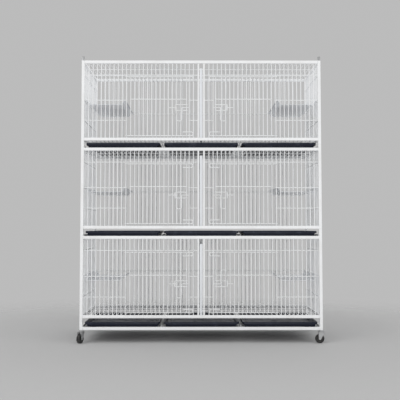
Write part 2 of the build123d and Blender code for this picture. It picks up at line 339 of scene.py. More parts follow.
def folded_sheet(line: Array, thickness: float, sweep: Array) -> Shape:
    """Folded sheet: a bent line carried straight along, with a second skin one thickness below.

    The second skin is offset along the line's own normal, which is the cross product of the line's
    direction and the sweep, turned so that it points down.

    Args:
        line: Points of the bent line on the upper skin, towards +x.
        thickness: The sheet's thickness.
        sweep: Vector from the near end of the sheet to the far one, towards +y.

    Returns:
        The closed sheet.
    """
    normal = unit(np.cross(np.gradient(line, axis=0), sweep))
    below = line - thickness * normal * np.sign(normal[:, 2:])
    skins = np.stack([line, below, below + sweep, line + sweep])
    rows, count = skins.shape[:2]
    quads = grid_faces(rows, count, rows_close=True, cols_close=False)
    near_end = np.arange(rows)[None, ::-1] * count
    far_end = near_end[:, ::-1] + count - 1
    return Shape(skins.reshape(-1, 3), [quads[:, ::-1], near_end, far_end])


def nested_rings(half_x: float, half_y: float, corner: float, rows: Sequence[Sequence[float]],
                 closing: float = 0.5, least: float = 0.002, steps: int = 7) -> Shape:
    """A moulded dish: the same round-cornered outline drawn at each row's inset and height.

    Args:
        half_x: Half the outline's width at no inset.
        half_y: Half the outline's depth at no inset.
        corner: Corner radius at no inset.
        rows: Inset and height pairs, from the underside out over the rim and down to the floor.
        closing: How much of the inset the corner radius loses.
        least: The smallest corner radius.
        steps: Points in each corner.

    Returns:
        The closed dish, with a flat face at each end of the rows.
    """
    rings = []
    for inset, height in rows:
        radius = max(corner - inset * closing, least)
        outline = box_section(half_x - inset, half_y - inset, radius, steps)
        rings.append(point_rows(*outline.T, height))
    return capped(np.stack(rings)).flipped()


# Finishes


class Value:
    """A shader socket that Python arithmetic can be written on."""

    def __init__(self, graph: "Graph", socket: bpy.types.NodeSocket) -> None:
        """Keeps the graph and the output socket."""
        self.graph = graph
        self.socket = socket

    def _math(self, operation: str, *values: Any) -> "Value":
        """A Math node on these values."""
        node = self.graph.node("ShaderNodeMath", {"operation": operation}, dict(enumerate(values)))
        return Value(self.graph, node.outputs[0])

    def __add__(self, other: Any) -> "Value":
        """Sum."""
        return self._math("ADD", self, other)

    def __sub__(self, other: Any) -> "Value":
        """Difference."""
        return self._math("SUBTRACT", self, other)

    def __rsub__(self, other: Any) -> "Value":
        """Difference, the other way round."""
        return self._math("SUBTRACT", other, self)

    def __mul__(self, other: Any) -> "Value":
        """Product."""
        return self._math("MULTIPLY", self, other)

    __radd__ = __add__
    __rmul__ = __mul__

    def most(self, other: Any) -> "Value":
        """The larger of two."""
        return self._math("MAXIMUM", self, other)

    def above(self, edge: float, width: float) -> "Value":
        """0 below edge and 1 above it, with a smooth step of this width."""
        settings = {"interpolation_type": "SMOOTHSTEP"}
        inputs = {"Value": self, "From Min": edge - width / 2, "From Max": edge + width / 2}
        node = self.graph.node("ShaderNodeMapRange", settings, inputs)
        return Value(self.graph, node.outputs[0])


class Graph:
    """The node tree of one material, or of the world."""

    def __init__(self, owner: bpy.types.Material | bpy.types.World) -> None:
        """Empties the owner's node tree."""
        owner.use_nodes = True
        self.owner = owner
        self.tree = owner.node_tree
        self.tree.nodes.clear()

    @cached_property
    def place(self) -> bpy.types.NodeSocket:
        """A point's place in its piece's own coordinates."""
        return self.node("ShaderNodeTexCoord").outputs["Object"]

    def node(self, kind: str, settings: dict[str, Any] | None = None,
             inputs: dict[Any, Any] | None = None) -> Any:
        """The one place where nodes are made.

        Args:
            kind: The node's type.
            settings: Attributes of the node, set first.
            inputs: Numbers, colours as three numbers, or links, by the socket's name or number.

        Returns:
            The new node.
        """
        node = self.tree.nodes.new(kind)
        for name, value in (settings or {}).items():
            setattr(node, name, value)
        for name, value in (inputs or {}).items():
            link = value.socket if isinstance(value, Value) else value
            if isinstance(link, bpy.types.NodeSocket):
                self.tree.links.new(link, node.inputs[name])
            else:
                node.inputs[name].default_value = (*link, 1.0) if isinstance(link, tuple) else link
        return node

    def noise(self, scale: float, detail: float = 3.0, roughness: float = 0.5) -> Value:
        """Noise over the piece's own coordinates, from 0 to 1."""
        inputs = {"Vector": self.place, "Scale": scale, "Detail": detail, "Roughness": roughness}
        return Value(self, self.node("ShaderNodeTexNoise", None, inputs).outputs["Fac"])

    def speckle(self, scale: float) -> Value:
        """Distance to the nearest of scattered points."""
        node = self.node("ShaderNodeTexVoronoi", None, {"Vector": self.place, "Scale": scale})
        return Value(self, node.outputs["Distance"])

    def blend(self, share: Any, low: Any, high: Any) -> bpy.types.NodeSocket:
        """A colour between two, by a share from 0 to 1."""
        return self.node("ShaderNodeMix", {"data_type": "RGBA"}, {0: share, 6: low, 7: high}).outputs[2]

    def mixed(self, share: Any, low: Any, high: Any) -> Any:
        """A shader between two, by a share from 0 to 1."""
        return self.node("ShaderNodeMixShader", None, {0: share, 1: low.outputs[0], 2: high.outputs[0]})

    def principled(self, sockets: dict[str, Any]) -> bpy.types.Material:
        """Gives the material one Principled shader with these sockets."""
        return self.finished(self.node("ShaderNodeBsdfPrincipled", None, sockets))

    def finished(self, shader: Any, output: str = "ShaderNodeOutputMaterial") -> Any:
        """Links the shader to the output, and gives back what the tree belongs to."""
        self.node(output, None, {"Surface": shader.outputs[0]})
        return self.owner


@dataclass(frozen=True)
class Patches:
    """Soft patches, such as dust or scuffs, where noise rises above an edge."""

    scale: float
    detail: float
    roughness: float
    edge: float
    width: float

    def mask(self, graph: Graph) -> Value:
        """1 on the patches and 0 between them."""
        return graph.noise(self.scale, self.detail, self.roughness).above(self.edge, self.width)


@dataclass(frozen=True)
class Relief:
    """How far, in metres, and how strongly a height pushes the surface."""

    depth: float
    strength: float

    def normal(self, graph: Graph, height: Value) -> bpy.types.NodeSocket:
        """The surface's normal with this height on it."""
        inputs = {"Height": height, "Distance": self.depth, "Strength": self.strength}
        return graph.node("ShaderNodeBump", None, inputs).outputs["Normal"]


@dataclass(frozen=True)
class Coating:
    """A skin of one colour with a fine grain, under soft patches of another colour."""

    name: str
    slot: str
    clean: Colour
    worn: Colour
    patches: Patches
    cover: float
    grain_scale: float
    relief: Relief
    roughness: float
    patch_roughness: float
    specular: float = 0.5
    coat: float = 0.0
    coat_roughness: float = 0.03

    def grain(self, graph: Graph) -> Value:
        """The height of the grain."""
        return graph.noise(self.grain_scale, detail=2.0)

    def rough(self, grain: Value, worn: Value) -> Value:
        """Roughness, which the patches raise."""
        return self.roughness + self.patch_roughness * worn

    def material(self) -> bpy.types.Material:
        """Builds the material."""
        graph = Graph(bpy.data.materials.new(self.name))
        worn, grain = self.patches.mask(graph), self.grain(graph)
        return graph.principled({
            "Base Color": graph.blend(worn * self.cover, self.clean, self.worn),
            "Roughness": self.rough(grain, worn),
            "Normal": self.relief.normal(graph, grain),
            "Specular IOR Level": self.specular,
            "Coat Weight": self.coat,
            "Coat Roughness": self.coat_roughness,
        })


@dataclass(frozen=True)
class PowderCoat(Coating):
    """White powder coat: an even, faintly pebbled skin with a little dust."""

    name: str = "white_powder_coat"
    slot: str = "white_steel"
    clean: Colour = (0.86, 0.868, 0.876)
    worn: Colour = (0.8, 0.802, 0.8)
    patches: Patches = Patches(scale=9.0, detail=5.0, roughness=0.6, edge=0.56, width=0.22)
    cover: float = 0.75
    grain_scale: float = 900.0
    grain_roughness: float = 0.1
    relief: Relief = Relief(depth=0.0003, strength=0.25)
    roughness: float = 0.36
    patch_roughness: float = 0.12
    coat: float = 0.12
    coat_roughness: float = 0.25

    def rough(self, grain: Value, worn: Value) -> Value:
        """Roughness, which pebbles and dust raise."""
        return self.roughness + self.grain_roughness * grain + self.patch_roughness * worn


@dataclass(frozen=True)
class CoatedSheet(Coating):
    """Smooth bluish-white coated sheet with soft handling marks."""

    name: str = "coated_sheet"
    slot: str = "platform_white"
    clean: Colour = (0.85, 0.875, 0.91)
    worn: Colour = (0.8, 0.82, 0.85)
    patches: Patches = Patches(scale=6.0, detail=3.0, roughness=0.5, edge=0.55, width=0.4)
    cover: float = 0.7
    grain_scale: float = 700.0
    relief: Relief = Relief(depth=0.0002, strength=0.2)
    roughness: float = 0.3
    patch_roughness: float = 0.22
    coat: float = 0.15
    coat_roughness: float = 0.2


@dataclass(frozen=True)
class TrayPlastic(Coating):
    """Dark navy moulded plastic with a fine grain, scuffs and a film of dust."""

    name: str = "navy_tray_plastic"
    slot: str = "tray_plastic"
    clean: Colour = (0.006, 0.009, 0.022)
    worn: Colour = (0.03, 0.036, 0.055)
    patches: Patches = Patches(scale=22.0, detail=8.0, roughness=0.7, edge=0.58, width=0.14)
    cover: float = 0.8
    grain_scale: float = 520.0
    relief: Relief = Relief(depth=0.0002, strength=0.25)
    roughness: float = 0.34
    patch_roughness: float = 0.25
    specular: float = 0.3

    def grain(self, graph: Graph) -> Value:
        """The height of the moulded grain, which is made of small cells."""
        return graph.speckle(self.grain_scale)


@dataclass(frozen=True)
class WheelPlastic(Coating):
    """Hard black wheel with a dusty tread."""

    name: str = "black_wheel"
    slot: str = "castor_black"
    clean: Colour = (0.012, 0.012, 0.013)
    worn: Colour = (0.09, 0.086, 0.08)
    patches: Patches = Patches(scale=120.0, detail=6.0, roughness=0.7, edge=0.56, width=0.2)
    cover: float = 0.8
    grain_scale: float = 1500.0
    relief: Relief = Relief(depth=0.0002, strength=0.3)
    roughness: float = 0.45
    patch_roughness: float = 0.3


@dataclass(frozen=True)
class Zinc:
    """Zinc plating: grey metal with crystal-like patches and dull spots."""

    name: str = "zinc_plating"
    slot: str = "zinc"
    bright: Colour = (0.62, 0.63, 0.64)
    dull: Colour = (0.4, 0.4, 0.4)
    crystal_scale: float = 160.0
    crystal_edge: float = 0.4
    crystal_width: float = 0.5
    crystal_cover: float = 0.3
    tarnish_scale: float = 60.0
    tarnish_detail: float = 5.0
    tarnish_roughness: float = 0.6
    tarnish_cover: float = 0.6
    relief: Relief = Relief(depth=0.0002, strength=0.2)
    roughness: float = 0.28
    dulling: float = 0.25
    metallic: float = 0.95
    crystal_loss: float = 0.1

    def material(self) -> bpy.types.Material:
        """Builds the material."""
        graph = Graph(bpy.data.materials.new(self.name))
        crystal = graph.speckle(self.crystal_scale).above(self.crystal_edge, self.crystal_width)
        tarnish = graph.noise(self.tarnish_scale, self.tarnish_detail, self.tarnish_roughness)
        cover = self.tarnish_cover * tarnish + self.crystal_cover * crystal
        return graph.principled({
            "Base Color": graph.blend(cover, self.bright, self.dull),
            "Roughness": self.roughness + self.dulling * tarnish,
            "Metallic": self.metallic - self.crystal_loss * crystal,
            "Normal": self.relief.normal(graph, tarnish),
        })


Finish = Coating | Zinc


class Wardrobe:
    """Makes each finish once, and dresses pieces with it."""

    def __init__(self) -> None:
        """Starts with no material made."""
        self.made: dict[str, bpy.types.Material] = {}

    def material(self, finish: Finish) -> bpy.types.Material:
        """The finish's material, made when first asked for."""
        if finish.name not in self.made:
            self.made[finish.name] = finish.material()
        return self.made[finish.name]

    def dress(self, shape: Shape, name: str, finish: Finish, body: str, node: str) -> None:
        """Makes a piece, finishes it, and puts it on its body in place of a CAD node.

        Args:
            shape: The piece's shape.
            name: The piece's name.
            finish: Its finish.
            body: The body that it rides on.
            node: The CAD node that it stands for.
        """
        obj = shape.piece(name)
        obj.data.materials.append(self.material(finish))
        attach(obj, body)
        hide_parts(node)
        log.info("%s: %d faces on %s", name, len(obj.data.polygons), body)

    def redress(self, node: str, finish: Finish) -> None:
        """Gives a CAD node, whose shape is right as it is, the finish's material."""
        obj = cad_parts[node]
        obj.data.materials.clear()
        obj.data.materials.append(self.material(finish))
        log.info("%s keeps its shape", node)


# The stack's measures


@dataclass(frozen=True)
class Measures:
    """Sizes shared by the sub-assemblies, in metres, with levels read from the frame."""

    width: float = 1.2
    depth: float = 0.5
    tube: float = 0.015
    wire: float = 0.004
    pitches: int = 27
    centre_half: float = 0.018
    panel_inset: float = 0.008
    weld_sink: float = 0.0005
    weld_over: float = 0.001
    low_rise: float = 0.088
    platform_rise: float = 0.19
    header_rise: float = 0.318
    latch_index: int = 25
    hinge_index: int = 10

    @property
    def post_x(self) -> float:
        """The posts' middle lines, from the middle of the width."""
        return self.width / 2 - self.tube / 2

    @property
    def post_y(self) -> float:
        """The posts' middle lines, from the middle of the depth."""
        return self.depth / 2 - self.tube / 2

    @property
    def weld_end(self) -> float:
        """How far a wire runs on past the middle of the last wire it is welded to."""
        return self.wire / 2 + self.weld_over

    @property
    def inner_x(self) -> float:
        """The posts' inner faces, from the middle."""
        return self.width / 2 - self.tube

    @property
    def inner_y(self) -> float:
        """The rails' inner faces, from the middle."""
        return self.depth / 2 - self.tube

    @property
    def pitch(self) -> float:
        """The wires' spacing in a bay."""
        return (self.inner_x - self.centre_half) / self.pitches

    @property
    def panel_y(self) -> float:
        """The front wires' middle plane."""
        return -self.depth / 2 + self.panel_inset

    def floor(self, tier: Tier) -> float:
        """The top of the tier's floor rails."""
        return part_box(f"{tier.label}_frame")[0].z + self.tube

    def ceiling(self, tier: Tier) -> float:
        """The underside of the tier's top rails."""
        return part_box(f"{tier.label}_front_panel")[1].z

    def wire_x(self, side: Side, index: float) -> float:
        """The x of a wire place, counted from the post towards the middle."""
        return side.value * (self.inner_x - self.pitch * index)

    def past(self, side: Side, index: float, reach: float) -> float:
        """The x of a wire place, moved on towards the middle."""
        return self.wire_x(side, index) - side.value * reach


def uprights(x: Any, y: Any, low: Any, high: float) -> tuple[Array, Array]:
    """Start and end points of wires that stand at these places."""
    return point_rows(x, y, low), point_rows(x, y, high)


def wires(pairs: Iterable[tuple[Any, Any]], radius: float, eased: float = 0.3) -> Shape:
    """Round wires between pairs of points or of rows of points, with their ends eased."""
    starts, ends = (np.concatenate([np.atleast_2d(point) for point in points]) for points in zip(*pairs))
    return bars(starts, ends, round_section(radius), radius * eased)


# Sub-assemblies


@dataclass
class TubeFrame:
    """Posts and rails of square tube, in a base frame and three tier frames."""

    measures: Measures
    corner: float = 0.0016
    ease: float = 0.0007
    pin_reach: float = 0.025
    pin_play: float = 0.0012
    pin_corner: float = 0.001
    pin_ease: float = 0.0012

    @property
    def section(self) -> Array:
        """The tube's outline."""
        return box_section(self.measures.tube / 2, self.measures.tube / 2, self.corner)

    def ring(self, z: float) -> Shape:
        """Four rails that butt between the posts, with their underside at z."""
        m = self.measures
        x, y, middle = m.post_x, m.post_y, z + m.tube / 2
        starts = [[-m.inner_x, -y, middle], [-m.inner_x, y, middle],
                  [-x, -m.inner_y, middle], [x, -m.inner_y, middle]]
        ends = [[m.inner_x, -y, middle], [m.inner_x, y, middle],
                [-x, m.inner_y, middle], [x, m.inner_y, middle]]
        return bars(starts, ends, self.section, self.ease)

    def standing(self, low: float, high: float, section: Array, ease: float) -> Shape:
        """A bar at each post's place, between two heights."""
        m = self.measures
        x, y = np.array([corner.value for corner in Corner]).T * [[m.post_x], [m.post_y]]
        return bars(*uprights(x, y, low, high), section, ease)

    def posts(self, low: float, high: float) -> Shape:
        """Four corner posts between two heights."""
        return self.standing(low, high, self.section, self.ease)

    def pins(self) -> Shape:
        """The stacking pins' upper ends, which stand out of the topmost posts."""
        half = self.measures.tube / 2 - self.pin_play
        low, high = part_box("upper_frame")[1].z - self.pin_reach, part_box("stacking_pins")[1].z
        return self.standing(low, high, box_section(half, half, self.pin_corner), self.pin_ease)

    def build(self, wardrobe: Wardrobe) -> None:
        """Makes and dresses the base frame, the tier frames and the pins."""
        low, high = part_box("base_frame")
        base = Shape.joined([self.posts(low.z, high.z), self.ring(low.z)])
        wardrobe.dress(base, "base_tubes", PowderCoat(), "cage", "base_frame")
        for tier in Tier:
            node = f"{tier.label}_frame"
            low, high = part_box(node)
            rings = [self.ring(low.z), self.ring(self.measures.ceiling(tier))]
            shape = Shape.joined([self.posts(low.z, high.z), *rings])
            wardrobe.dress(shape, f"{tier.label}_tubes", PowderCoat(), "cage", node)
        wardrobe.dress(self.pins(), "pin_ends", Zinc(), "cage", "stacking_pins")


@dataclass
class WirePanels:
    """The fixed panels of a tier: front, rear, sides, floor and ceiling."""

    measures: Measures
    side_wires: int = 24
    grid_drop: float = 0.0075
    root: float = 0.001
    stub: float = 0.003

    def front(self, tier: Tier) -> Shape:
        """The front's fixed wires, with an opening for each door."""
        m = self.measures
        low, high = m.floor(tier), m.ceiling(tier)
        back_y = m.panel_y + m.wire - m.weld_sink
        pairs: list[tuple[Any, Any]] = []
        for side in Side:
            index = np.arange(1, m.pitches)
            above_door = (index > m.hinge_index) & (index < m.latch_index)
            starts = np.where(above_door, low + m.header_rise - self.stub, low - self.root)
            pairs.append(uprights(m.wire_x(side, index), m.panel_y, starts, high + self.root))
            edge = m.wire_x(side, 0) + side.value * self.root
            middle = side.value * (m.centre_half - self.root)
            rows = [(edge, middle, m.header_rise)]
            for rise in (m.low_rise, m.platform_rise):
                rows.append((edge, m.past(side, m.hinge_index, m.weld_end), rise))
                rows.append((m.past(side, m.latch_index, -m.weld_end), middle, rise))
            pairs += [([a, back_y, low + rise], [b, back_y, low + rise]) for a, b, rise in rows]
        return wires(pairs, m.wire / 2)

    def rear(self, tier: Tier) -> Shape:
        """The rear's upright wires and its middle wire."""
        m = self.measures
        low, high = m.floor(tier), m.ceiling(tier)
        pairs: list[tuple[Any, Any]] = []
        for side in Side:
            xs = m.wire_x(side, np.arange(1, m.pitches))
            pairs.append(uprights(xs, -m.panel_y, low - self.root, high + self.root))
            y, z = -m.panel_y - m.wire + m.weld_sink, low + m.platform_rise
            pairs.append(([m.wire_x(side, 0), y, z], [side.value * m.centre_half, y, z]))
        return wires(pairs, m.wire / 2)

    def sides(self, tier: Tier) -> Shape:
        """The close uprights of both ends and the wires that carry them."""
        m = self.measures
        low, high = m.floor(tier), m.ceiling(tier)
        ys = -m.inner_y + 2 * m.inner_y * np.arange(1, self.side_wires) / self.side_wires
        pairs: list[tuple[Any, Any]] = []
        for side in Side:
            x = side.value * (m.width / 2 - m.panel_inset)
            pairs.append(uprights(x, ys, low - self.root, high + self.root))
            inner, reach = x - side.value * (m.wire - m.weld_sink), m.inner_y + self.root
            for rise in (m.low_rise, m.platform_rise, m.header_rise):
                pairs.append(([inner, -reach, low + rise], [inner, reach, low + rise]))
        return wires(pairs, m.wire / 2)

    def grid(self, top: float) -> Shape:
        """A level grid of close wires from front to back, on two cross wires a third of the depth apart."""
        m = self.measures
        z = top - m.wire / 2
        pairs: list[tuple[Any, Any]] = []
        for side in Side:
            xs = m.wire_x(side, np.arange(1, m.pitches + 1))
            reach = m.inner_y + self.root
            pairs.append((point_rows(xs, -reach, z), point_rows(xs, reach, z)))
        cross_z = z - m.wire + m.weld_sink
        reach = m.inner_x + self.root
        for y in (-m.depth / 6, m.depth / 6):
            pairs.append(([-reach, y, cross_z], [reach, y, cross_z]))
        return wires(pairs, m.wire / 2)

    def build(self, wardrobe: Wardrobe) -> None:
        """Makes and dresses every fixed panel."""
        m = self.measures
        for tier in Tier:
            ceiling_top = m.ceiling(tier) + m.tube - self.grid_drop
            made = {
                "front_panel": self.front(tier),
                "rear_panel": self.rear(tier),
                "side_panels": self.sides(tier),
                "floor_grid": self.grid(m.floor(tier)),
                "ceiling_grid": self.grid(ceiling_top),
            }
            for name, shape in made.items():
                node = f"{tier.label}_{name}"
                wardrobe.dress(shape, f"{node}_wires", PowderCoat(), "cage", node)


@dataclass
class Door:
    """One wire door with bent hinge eyes, stop hooks and a bolt bracket."""

    measures: Measures
    side: Side
    tier: Tier
    play: float = 0.0003
    edge_gap: float = 0.013
    bottom_rise: float = 0.011
    middle_rise: float = 0.1955
    top_gap: float = 0.009
    hook_reach: float = 0.019
    hook_drop: float = 0.018
    hook_return: float = 0.0505
    bolt_rise: float = 0.153
    bracket_half: float = 0.0145
    bracket_reach: float = 0.057
    bracket_foot: float = 0.003
    bracket_slope: float = 0.006
    bracket_bends: Bends = (0.003, 0.0025, 0.0025, 0.003)
    jog: float = 0.005
    jog_slope: float = 0.001
    run_bends: Bends = (0.0025, 0.0025, 0.0075, 0.0075)
    eye_points: int = 20

    @property
    def run_y(self) -> float:
        """The plane of the wires that run across the door."""
        return self.measures.panel_y + self.measures.wire + self.play

    @property
    def edge_x(self) -> float:
        """The upright at the door's free edge."""
        return self.measures.past(self.side, self.measures.latch_index, -self.edge_gap)

    def hinged_wire(self, z: float, turn: int) -> Shape:
        """A wire that starts as a three-quarter eye round the hinge wire and ends as a stop hook.

        The eye is the hinge place plus the eye's radius times the cosine and sine of an angle that
        falls from a full turn to a quarter.
        """
        m, s = self.measures, self.side.value
        hinge_x, eye = m.wire_x(self.side, m.hinge_index), self.run_y - m.panel_y
        angle = np.linspace(2 * math.pi, math.pi / 2, self.eye_points)
        arc = point_rows(hinge_x - s * eye * np.cos(angle), m.panel_y + eye * np.sin(angle), z)
        hook_y = m.panel_y - m.wire - self.play
        jog_x = self.edge_x - s * self.jog
        tip_x = m.past(self.side, m.latch_index, self.hook_reach)
        back_x, turn_z = tip_x + s * self.hook_return, z + turn * self.hook_drop
        route = [arc[-1], (jog_x, self.run_y, z), (jog_x - s * self.jog_slope, hook_y, z),
                 (tip_x, hook_y, z), (tip_x, hook_y, turn_z), (back_x, hook_y, turn_z)]
        return bent_wire(np.concatenate([arc[:-1], bend(route, self.run_bends)]), m.wire / 2)

    def bracket(self, z: float) -> Shape:
        """The wire U that keeps the bolt against the door."""
        m, s = self.measures, self.side.value
        start, bend_x = self.edge_x - s * self.bracket_foot, self.edge_x + s * self.bracket_reach
        slope_x, front_y = bend_x - s * self.bracket_slope, self.run_y - m.wire
        low, high = z - self.bracket_half, z + self.bracket_half
        route = [(start, self.run_y, low), (slope_x, self.run_y, low), (bend_x, front_y, low),
                 (bend_x, front_y, high), (slope_x, self.run_y, high), (start, self.run_y, high)]
        return bent_wire(bend(route, self.bracket_bends), m.wire / 2)

    def shape(self) -> Shape:
        """All of the door's wires."""
        m = self.measures
        base = m.floor(self.tier)
        bottom, top = base + self.bottom_rise, base + m.header_rise - self.top_gap
        end = m.weld_end
        xs = np.append(m.wire_x(self.side, np.arange(m.hinge_index + 1, m.latch_index - 1)), self.edge_x)
        stand = uprights(xs, self.run_y + m.wire - m.weld_sink, bottom - end, top + end)
        z = base + self.middle_rise
        middle = ([m.past(self.side, m.hinge_index + 1, -end), self.run_y, z],
                  [self.edge_x - self.side.value * end, self.run_y, z])
        return Shape.joined([wires([stand, middle], m.wire / 2), self.hinged_wire(top, -1),
                             self.hinged_wire(bottom, 1), self.bracket(base + self.bolt_rise)])

    def build(self, wardrobe: Wardrobe) -> None:
        """Makes and dresses the door."""
        node = f"{self.tier.label}_{self.side.label}_door"
        wardrobe.dress(self.shape(), f"{node}_wires", PowderCoat(), node, node)


@dataclass
class Bolt:
    """A sliding bolt of one bent wire with a looped handle."""

    door: Door
    radius: float = 0.0017
    length: float = 0.094
    tip_gap: float = 0.0025
    handle_back: float = 0.033
    handle_width: float = 0.025
    handle_length: float = 0.07
    shoulder: float = 0.006
    bends: Bends = (0.003, 0.003, 0.009, 0.009, 0.003, 0.003)

    def shape(self) -> Shape:
        """The wire along its rod, down round the handle and back to the rod."""
        m, door = self.door.measures, self.door
        s = door.side.value
        z = m.floor(door.tier) + door.bolt_rise
        up = 1 if (door.side, door.tier) == (Side.RIGHT, Tier.LOWER) else -1
        tip = m.past(door.side, m.latch_index, -m.wire / 2 - self.tip_gap)
        near = tip + s * self.handle_back
        far, tail = near + s * self.handle_width, tip + s * self.length
        rod_y = door.run_y
        leg_y = rod_y - m.wire - door.play
        leg_z, loop_z = z + up * self.shoulder, z + up * (self.handle_length - self.radius)
        route = [(tip, rod_y, z), (near, rod_y, z), (near, leg_y, leg_z), (near, leg_y, loop_z),
                 (far, leg_y, loop_z), (far, leg_y, leg_z), (far, rod_y, z), (tail, rod_y, z)]
        return bent_wire(bend(route, self.bends), self.radius)

    def build(self, wardrobe: Wardrobe) -> None:
        """Makes and dresses the bolt."""
        node = f"{self.door.tier.label}_{self.door.side.label}_bolt"
        wardrobe.dress(self.shape(), f"{node}_wire", PowderCoat(), node, node)


@dataclass(frozen=True)
class GuideBar:
    """A straight bar beside the dividers: its x and its half sizes across."""

    x: float
    half_u: float
    half_v: float
    corner: float = 0.001
    ease: float = 0.0004

    def between(self, side: Side, start: Sequence[float], end: Sequence[float]) -> Shape:
        """The bar on one side, between two places that are each a y and a z."""
        x, section = side.value * self.x, box_section(self.half_u, self.half_v, self.corner)
        return bars([x, *start], [x, *end], section, self.ease)


@dataclass
class SheetWork:
    """Folded sheet: rest platforms and dividers, with the bars that guide the dividers."""

    measures: Measures
    sheet: float = 0.0012
    rim: float = 0.0055
    slope: float = 0.017
    flat: float = 0.159
    drop: float = 0.023
    post_gap: float = 0.0015
    fold: float = 0.0025
    fold_points: int = 5
    front_gap: float = 0.02
    platform_length: float = 0.446
    tab_ease: float = 0.0003
    tab_corner: float = 0.00048
    thin: float = 0.0005
    web_corner: float = 0.0003
    flange_half: float = 0.006
    flange_corner: float = 0.0004
    ease: float = 0.0002
    front_bar: GuideBar = GuideBar(0.014, 0.006, 0.004)
    rear_bar: GuideBar = GuideBar(0.0048, 0.0075, 0.004)
    strip: GuideBar = GuideBar(0.0023, 0.0015, 0.006, corner=0.0005, ease=0.0003)
    strip_rise: float = 0.002
    link_reach: tuple[float, float] = (0.008, 0.0185)
    link_y: float = 0.238

    def platform(self, side: Side, tier: Tier) -> Shape:
        """A trough of folded sheet between two rims, with tabs that reach the front and rear wires."""
        m, s = self.measures, side.value
        low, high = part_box(f"{tier.label}_rest_platforms")
        top = high.z
        start = m.inner_x - self.post_gap
        steps = np.cumsum([0, self.rim, self.slope, self.flat, self.slope, self.rim])
        heights = top - np.array([0, 0, self.drop, self.drop, 0, 0])
        front = -m.depth / 2 + self.front_gap
        back = front + self.platform_length
        corners = [(s * (start - step), front, z) for step, z in zip(steps, heights)]
        line = bend(corners, (self.fold,) * 4, self.fold_points)[::-s]
        shapes = [folded_sheet(line, self.sheet, np.array([0, back - front, 0.0]))]
        for step in (0, steps[4]):
            x, z = s * (start - step - self.rim / 2), top - self.sheet / 2
            section = box_section(self.rim / 2, self.sheet / 2, self.tab_corner, steps=2)
            for y0, y1 in ((low.y, front), (back, high.y)):
                shapes.append(bars([x, y0, z], [x, y1, z], section, self.tab_ease))
        return Shape.joined(shapes)

    def divider(self, tier: Tier) -> Shape:
        """A divider's web and its front flange, each a thin bar with eased edges."""
        low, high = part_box(f"{tier.label}_divider")
        y, z, tall, thin = low.y + self.thin, (low.z + high.z) / 2, (high.z - low.z) / 2, self.thin
        web = bars([0, low.y, z], [0, high.y, z], box_section(thin, tall, self.web_corner), self.ease)
        section = box_section(thin, self.flange_half, self.flange_corner)
        return Shape.joined([web, bars([0, y, low.z], [0, y, high.z], section, self.ease)])

    def guides(self) -> Shape:
        """Upright bars at the front and rear of each divider and the strips beside its foot."""
        m = self.measures
        low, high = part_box("centre_guides")
        shapes = []
        for tier in Tier:
            bottom, top, link = m.floor(tier), m.ceiling(tier), m.floor(tier) + m.platform_rise
            for side in Side:
                for bar, y in ((self.front_bar, low.y + self.front_bar.half_u),
                               (self.rear_bar, high.y - self.rear_bar.half_u)):
                    shapes.append(bar.between(side, (y, bottom), (y, top)))
                strip_z = bottom + self.strip_rise
                shapes.append(self.strip.between(side, (-m.inner_y, strip_z), (m.inner_y, strip_z)))
                start, end = ([side.value * x, self.link_y, link] for x in self.link_reach)
                shapes.append(wires([(start, end)], m.wire / 2))
        return Shape.joined(shapes)

    def build(self, wardrobe: Wardrobe) -> None:
        """Makes and dresses platforms, dividers and guides, and finishes the runners."""
        for tier in Tier:
            both = Shape.joined([self.platform(side, tier) for side in Side])
            node = f"{tier.label}_rest_platforms"
            wardrobe.dress(both, f"{node}_sheet", CoatedSheet(), "cage", node)
            node = f"{tier.label}_divider"
            wardrobe.dress(self.divider(tier), f"{node}_sheet", CoatedSheet(), node, node)
        wardrobe.dress(self.guides(), "guide_bars", PowderCoat(), "cage", "centre_guides")
        wardrobe.redress("tray_runners", PowderCoat())


@dataclass
class Tray:
    """One moulded tray with tapered walls and a rim that turns down to a lip."""

    node: str
    corner: float = 0.014
    moulding: Profile = (
        (0.0135, 0.0), (0.0115, 0.0006), (0.0110, 0.002), (0.0056, 0.0222), (0.0018, 0.0224),
        (0.0016, 0.0135), (0.0012, 0.0131), (0.0004, 0.0131), (0.0, 0.0136), (0.0, 0.0226),
        (0.0004, 0.0236), (0.0014, 0.024), (0.0054, 0.024), (0.0064, 0.0234), (0.0070, 0.0222),
        (0.0118, 0.0040), (0.0128, 0.0022), (0.0148, 0.0016), (0.0300, 0.0016), (0.0315, 0.0021),
        (0.0330, 0.0034), (0.0350, 0.0038), (0.0370, 0.0034), (0.0385, 0.0021), (0.0400, 0.0016))

    def shape(self) -> Shape:
        """Rows of the moulding from its foot, out under the rim, over the lip and down to its floor."""
        low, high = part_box(self.node)
        half_x, half_y = (high.x - low.x) / 2, (high.y - low.y) / 2
        shape = nested_rings(half_x, half_y, self.corner, self.moulding)
        return shape.moved(np.eye(3), ((low.x + high.x) / 2, (low.y + high.y) / 2, low.z))

    def build(self, wardrobe: Wardrobe) -> None:
        """Makes and dresses the tray."""
        wardrobe.dress(self.shape(), f"{self.node}_moulding", TrayPlastic(), self.node, self.node)


